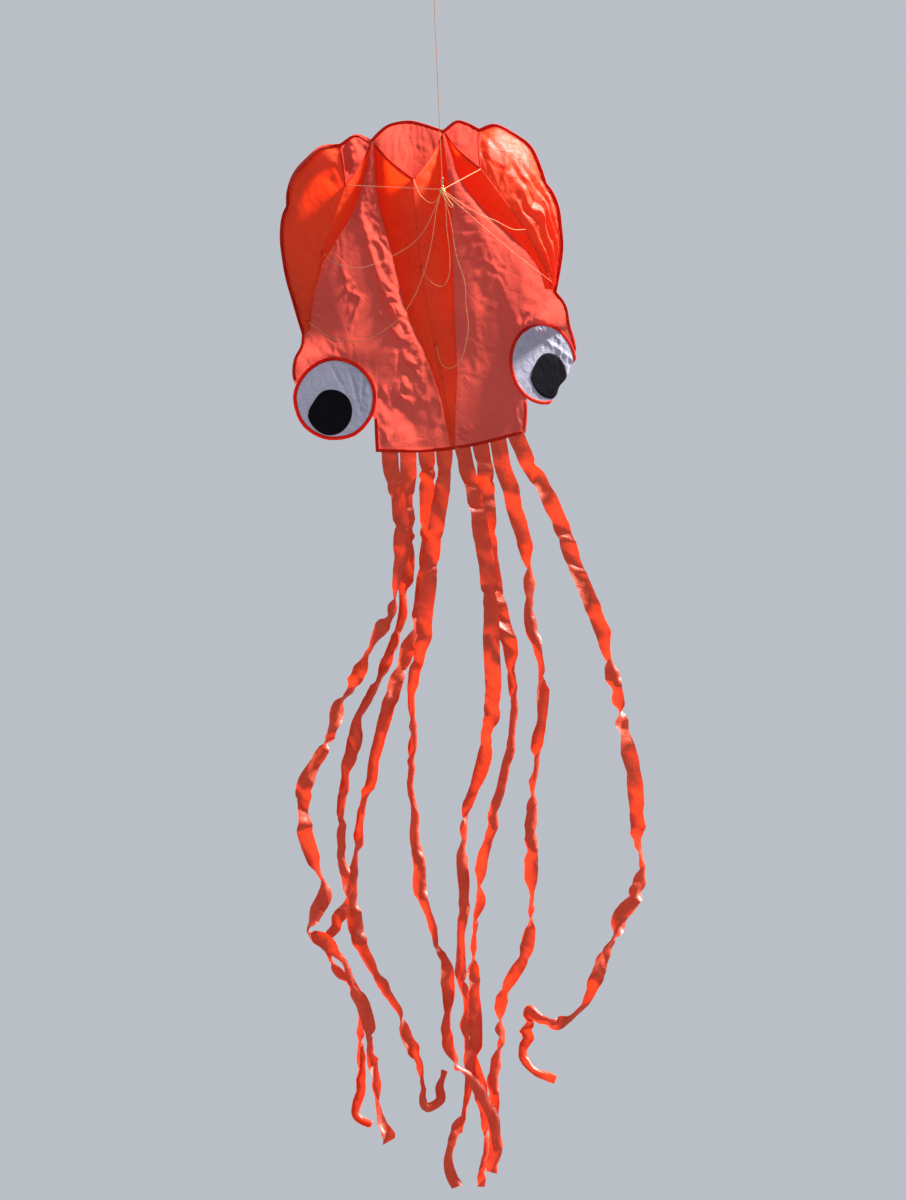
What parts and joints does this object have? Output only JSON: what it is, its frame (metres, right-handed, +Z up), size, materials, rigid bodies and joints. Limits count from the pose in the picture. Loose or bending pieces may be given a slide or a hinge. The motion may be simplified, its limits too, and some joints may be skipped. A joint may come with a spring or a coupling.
{
  "type": "octopus kite",
  "caption": "Soft octopus-shaped kite: billowed back sail, ram-air belly keels, inset round eyes, long ribbon tentacles, a bridle and a swivel on its flying line.",
  "frame": {"origin": "the tow point, the knot where the bridle lines meet, in front of the kite's belly", "axes": "+Z up the kite's centreline towards its nose, +Y from the belly to the back, +X to the right seen from the belly side"},
  "size_m": [1.0282, 0.9536, 3.412],
  "materials": {
    "sail_cloth": "thin coated ripstop, lit through",
    "keel_cloth": "thin coated ripstop, slightly glossy",
    "ribbon_cloth": "thin crinkled ripstop ribbon",
    "binding_tape": "folded grosgrain tape, stitched",
    "eye_white": "white ripstop",
    "eye_black": "black ripstop",
    "bridle_line": "braided polyester line",
    "loop_cord": "braided cream cord",
    "swivel_metal": "black nickel"
  },
  "bodies": {
    "kite": {"back_sail": "sail_cloth", "edge_binding": "binding_tape", "hem_binding": "binding_tape", "keel_centre_panel_left": "keel_cloth", "keel_centre_panel_right": "keel_cloth", "keel_left_panel_left": "keel_cloth", "keel_left_panel_right": "keel_cloth", "keel_right_panel_left": "keel_cloth", "keel_right_panel_right": "keel_cloth", "mouth_binding_centre": "binding_tape", "mouth_binding_left": "binding_tape", "mouth_binding_right": "binding_tape", "eye_ring_left": "binding_tape", "eye_ring_right": "binding_tape", "eye_white_left": "eye_white", "eye_white_right": "eye_white", "eye_pupil_left": "eye_black", "eye_pupil_right": "eye_black", "bridle_tab_left_top": "binding_tape", "bridle_tab_left_middle": "binding_tape", "bridle_tab_left_low": "binding_tape", "bridle_tab_centre_top": "binding_tape", "bridle_tab_centre_middle": "binding_tape", "bridle_tab_centre_low": "binding_tape", "bridle_tab_right_top": "binding_tape", "bridle_tab_right_middle": "binding_tape", "bridle_tab_right_low": "binding_tape", "bridle_line_left_top": "bridle_line", "bridle_line_left_middle": "bridle_line", "bridle_line_left_low": "bridle_line", "bridle_line_centre_top": "bridle_line", "bridle_line_centre_middle": "bridle_line", "bridle_line_centre_low": "bridle_line", "bridle_line_right_top": "bridle_line", "bridle_line_right_middle": "bridle_line", "bridle_line_right_low": "bridle_line", "bridle_knot": "loop_cord", "swivel_lower_eye": "swivel_metal"},
    "loop_tail": {"bridle_loop": "loop_cord"},
    "swivel_barrel": {"swivel_barrel": "swivel_metal"},
    "pulled_line": {"swivel_upper_eye": "swivel_metal", "line_knot": "bridle_line", "flying_line": "bridle_line", "line_end_knot": "bridle_line"},
    "ribbon_left_4": {"tentacle_left_4": "ribbon_cloth"},
    "ribbon_left_3": {"tentacle_left_3": "ribbon_cloth"},
    "ribbon_left_2": {"tentacle_left_2": "ribbon_cloth"},
    "ribbon_left_1": {"tentacle_left_1": "ribbon_cloth"},
    "ribbon_right_1": {"tentacle_right_1": "ribbon_cloth"},
    "ribbon_right_2": {"tentacle_right_2": "ribbon_cloth"},
    "ribbon_right_3": {"tentacle_right_3": "ribbon_cloth"},
    "ribbon_right_4": {"tentacle_right_4": "ribbon_cloth"}
  },
  "joints": [
    {"name": "ribbon_swing_left_1", "type": "hinge", "parent": "kite", "child": "ribbon_left_1", "pos_m": [-0.024, 0.47, -0.7229], "axis": [1, 0, 0], "range_deg": [-40, 80]},
    {"name": "ribbon_swing_left_2", "type": "hinge", "parent": "kite", "child": "ribbon_left_2", "pos_m": [-0.076, 0.47, -0.7202], "axis": [1, 0, 0], "range_deg": [-40, 80]},
    {"name": "ribbon_swing_left_3", "type": "hinge", "parent": "kite", "child": "ribbon_left_3", "pos_m": [-0.128, 0.47, -0.7148], "axis": [1, 0, 0], "range_deg": [-40, 80]},
    {"name": "ribbon_swing_left_4", "type": "hinge", "parent": "kite", "child": "ribbon_left_4", "pos_m": [-0.18, 0.47, -0.7075], "axis": [1, 0, 0], "range_deg": [-40, 80]},
    {"name": "ribbon_swing_right_1", "type": "hinge", "parent": "kite", "child": "ribbon_right_1", "pos_m": [0.028, 0.47, -0.7227], "axis": [1, 0, 0], "range_deg": [-40, 80]},
    {"name": "ribbon_swing_right_2", "type": "hinge", "parent": "kite", "child": "ribbon_right_2", "pos_m": [0.08, 0.47, -0.7194], "axis": [1, 0, 0], "range_deg": [-40, 80]},
    {"name": "ribbon_swing_right_3", "type": "hinge", "parent": "kite", "child": "ribbon_right_3", "pos_m": [0.132, 0.47, -0.7136], "axis": [1, 0, 0], "range_deg": [-40, 80]},
    {"name": "ribbon_swing_right_4", "type": "hinge", "parent": "kite", "child": "ribbon_right_4", "pos_m": [0.184, 0.47, -0.7061], "axis": [1, 0, 0], "range_deg": [-40, 80]},
    {"name": "loop_swing", "type": "hinge", "parent": "kite", "child": "loop_tail", "pos_m": [0, 0, -0.01], "axis": [1, 0, 0], "range_deg": [-75, 15]},
    {"name": "barrel_spin", "type": "hinge", "parent": "kite", "child": "swivel_barrel", "pos_m": [0, 0, 0], "axis": [0, -0.5293, 0.8484], "continuous": true},
    {"name": "swivel_spin", "type": "hinge", "parent": "swivel_barrel", "child": "pulled_line", "pos_m": [0, 0, 0], "axis": [0, -0.5293, 0.8484], "continuous": true}
  ],
  "couplings": [
    {"joint": "ribbon_swing_left_2", "follows": "ribbon_swing_left_1", "ratio": 1},
    {"joint": "ribbon_swing_left_3", "follows": "ribbon_swing_left_1", "ratio": 1},
    {"joint": "ribbon_swing_left_4", "follows": "ribbon_swing_left_1", "ratio": 1},
    {"joint": "ribbon_swing_right_1", "follows": "ribbon_swing_left_1", "ratio": 1},
    {"joint": "ribbon_swing_right_2", "follows": "ribbon_swing_left_1", "ratio": 1},
    {"joint": "ribbon_swing_right_3", "follows": "ribbon_swing_left_1", "ratio": 1}
  ]
}
